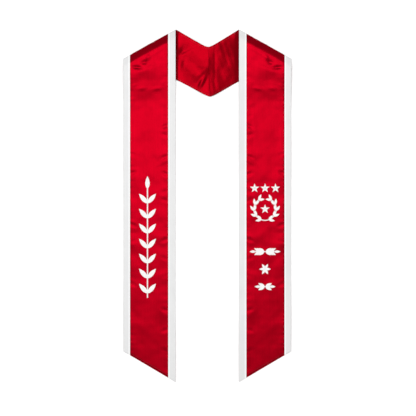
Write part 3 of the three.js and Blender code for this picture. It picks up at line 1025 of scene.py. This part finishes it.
def wreath(x, y, radius, pairs, leaf_size, thickness):
    """Two curved branches that meet at the bottom and leave the top open"""
    long, wide, lean = leaf_size
    opening = math.radians(25)
    turn = np.linspace(math.pi / 2 + opening, math.pi * 2.5 - opening, 90)
    rows = [stem(np.stack([x + radius * np.cos(turn), y + radius * np.sin(turn)], axis=1), thickness)]
    for side in (1, -1):
        for share in np.linspace(0.12, 0.93, pairs):
            at = -math.pi / 2 + side * share * (math.pi - opening)
            grows = at + side * math.pi / 2
            for tilt in (lean, -lean):
                foot = (x + radius * math.cos(at), y + radius * math.sin(at))
                rows.append(leaf(*foot, grows + tilt, long, wide))
    return np.concatenate(rows)


# A leaf is its length, its greatest width and its angle from the stem
sprig_x = -band_middle - 5
sprig_drop = 352
sprig_length = 292
sprig_pairs = 7
sprig_leaf = (31, 10.5, math.radians(41))
sprig_stem = 3.0
thin_stem = 2.4
star_radius = 11.5
star_pitch = 25
star_rise = 50  # above the wreath
wreath_drop = 431
wreath_radius = 27
wreath_pairs = 5
wreath_leaf = (15, 6, math.radians(28))
rosette_drop = 575
rosette_leaf = (14, 6)
bar_leaf = (15, 6, math.radians(34))
bar_pitch = 42
bar_length = 74
lower_bar = 0.68  # length of the lower lying sprig beside the upper one
star_y = peak_y - wreath_drop + star_rise
wreath_y = peak_y - wreath_drop
rosette_y = peak_y - rosette_drop
motifs = {
    "left_sprig": sprig(
        sprig_x,
        peak_y - sprig_drop - sprig_length,
        math.pi / 2,
        sprig_length,
        sprig_pairs,
        sprig_leaf,
        sprig_stem,
    ),
    "right_star_1": star(band_middle - star_pitch, star_y, star_radius),
    "right_star_2": star(band_middle, star_y, star_radius),
    "right_star_3": star(band_middle + star_pitch, star_y, star_radius),
    "right_wreath": wreath(band_middle, wreath_y, wreath_radius, wreath_pairs, wreath_leaf, thin_stem),
    "right_wreath_star": star(band_middle, wreath_y, star_radius),
    "right_rosette": np.concatenate(
        [leaf(band_middle, rosette_y, i * math.pi / 3, *rosette_leaf) for i in range(6)]
    ),
    "right_sprig_upper": lying_sprig(band_middle, rosette_y + bar_pitch, bar_length, 5),
    "right_sprig_lower": lying_sprig(band_middle, rosette_y - bar_pitch, bar_length * lower_bar, 3),
}
print("motifs:", {name: len(rows) for name, rows in motifs.items()})


# %% Embroider them on the satin
far_from_hem = 1000.0


def face_top(x, y, side):
    """Height of the satin's upper face under a motif"""
    points = np.stack([np.abs(x), y, 0 * x], axis=1)[:, None, :]
    from_outer = outer_x - np.abs(x)[:, None]
    relief = satin_relief(points, from_outer, far_from_hem, side)[:, 0]
    return band_height(np.abs(x), y, side) + stack / 2 + relief


yarn_lift = 0.2
yarn_thickness = 0.95
yarn_arch = 0.45
first_seed = 20
for number, (node, rows) in enumerate(motifs.items()):
    side = -1 if node.startswith("left") else 1
    x, y, heading, reach, lean = rows.T
    z = face_top(x, y, side) + yarn_lift
    guide = bpy.data.meshes.new(node + "_veins")
    guide.from_pydata((np.stack([x, y, z], axis=1) * MM).tolist(), [], [])
    for label, values in (("heading", heading), ("reach", reach * MM), ("lean", lean)):
        guide.attributes.new(label, "FLOAT", "POINT").data.foreach_set("value", values.astype(np.float32))
    values = {
        "Thickness": yarn_thickness * MM,
        "Arch": yarn_arch * MM,
        "Thread": white_thread,
        "Seed": first_seed + number,
    }
    piece = grown(node + "_threads", guide, satin_tree, satin_sockets, values)
    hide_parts(node)
    print(piece.name, "threads:", 2 * len(rows), "faces:", len(piece.data.polygons))

# %% [markdown]
# ## Floor, light and camera
#
# The stole lies on a white table under a camera that looks straight down. A bright soft box hangs
# above its upper half and on past the neck, a weaker one above its lower half, and the pale room
# fills the shadows. The satin shows them: where it lies flat it mirrors the bright box and then,
# lower down, the weak one, and where it turns away at the shoulder it mirrors a dark strip of
# ceiling and goes dark.

# %% The table
def plain(name, code, roughness):
    material, tree = new_material(name)
    shader = add(
        tree, "ShaderNodeBsdfPrincipled", {"Base Color": to_linear(code), "Roughness": roughness}
    )
    add(tree, "ShaderNodeOutputMaterial", {"Surface": shader.outputs["BSDF"]})
    return material


table_half = 3.0
table_drop = 0.0002
corners = [(-1, -1), (1, -1), (1, 1), (-1, 1)]
table_mesh = bpy.data.meshes.new("table")
table_mesh.from_pydata(
    [(x * table_half, y * table_half, -table_drop) for x, y in corners], [], [(0, 1, 2, 3)]
)
table_mesh.materials.append(plain("white matt board", "#fbfbfb", 0.9))
table = bpy.data.objects.new("table", table_mesh)
bpy.context.scene.collection.objects.link(table)

# %% Two soft boxes
box_height = 3.6


def soft_box(name, width, length, watts, x, y):
    """A rectangular light that faces straight down"""
    light = bpy.data.lights.new(name, "AREA")
    light.shape = "RECTANGLE"
    light.size = width
    light.size_y = length
    light.energy = watts
    lamp = bpy.data.objects.new(name, light)
    lamp.location = (x, y, box_height)
    bpy.context.scene.collection.objects.link(lamp)


box_width = 2.14
box_length = 1.5
box_x = -0.3
box_y = 0.64
box_watts = 87
fill_length = 0.85
fill_share = 0.24  # of the main box's brightness
soft_box("main soft box", box_width, box_length, box_watts, box_x, box_y)
fill_watts = box_watts * fill_share * fill_length / box_length
soft_box("fill soft box", box_width, fill_length, fill_watts, box_x, box_y - (box_length + fill_length) / 2)

# %% The pale room, with a dark strip of ceiling beyond the neck
room_strength = 0.63
dark_strength = 0.15
dark_from_y = (0.25, 0.45)  # the strip begins over these parts of the direction towards the neck
dark_from_z = (0.45, 0.65)  # and over these parts of the direction up
room = bpy.data.worlds.new("pale room")
room.use_nodes = True
room_tree = room.node_tree
background = room_tree.nodes["Background"]
looking = add(room_tree, "ShaderNodeTexCoord").outputs["Generated"]
toward = add(room_tree, "ShaderNodeSeparateXYZ", {"Vector": looking}).outputs
beyond = add(
    room_tree,
    "ShaderNodeMapRange",
    {"Value": toward["Y"], "From Min": dark_from_y[0], "From Max": dark_from_y[1]},
).outputs["Result"]
overhead = add(
    room_tree,
    "ShaderNodeMapRange",
    {"Value": toward["Z"], "From Min": dark_from_z[0], "From Max": dark_from_z[1]},
).outputs["Result"]
dark_strip = add(room_tree, "ShaderNodeMath", {0: beyond, 1: overhead}, operation="MULTIPLY").outputs[0]
brightness = add(
    room_tree,
    "ShaderNodeMapRange",
    {"Value": dark_strip, "To Min": room_strength, "To Max": dark_strength},
).outputs["Result"]
background.inputs["Color"].default_value = (1, 1, 1, 1)
room_tree.links.new(brightness, background.inputs["Strength"])
bpy.context.scene.world = room
bpy.context.scene.view_settings.view_transform = "Standard"

# %% Camera
photo_pixels = 416
mm_per_pixel = 2.4
camera_height = 5.0
view_centre = (0.0017, -0.0054)
camera_data = bpy.data.cameras.new("camera")
camera_data.sensor_width = 36
camera_data.lens = camera_data.sensor_width * camera_height / (photo_pixels * mm_per_pixel * MM)
camera_data.clip_end = 50
camera = bpy.data.objects.new("camera", camera_data)
camera.location = (*view_centre, camera_height)
bpy.context.scene.collection.objects.link(camera)
bpy.context.scene.camera = camera
print("lens:", round(camera_data.lens, 1), "mm")
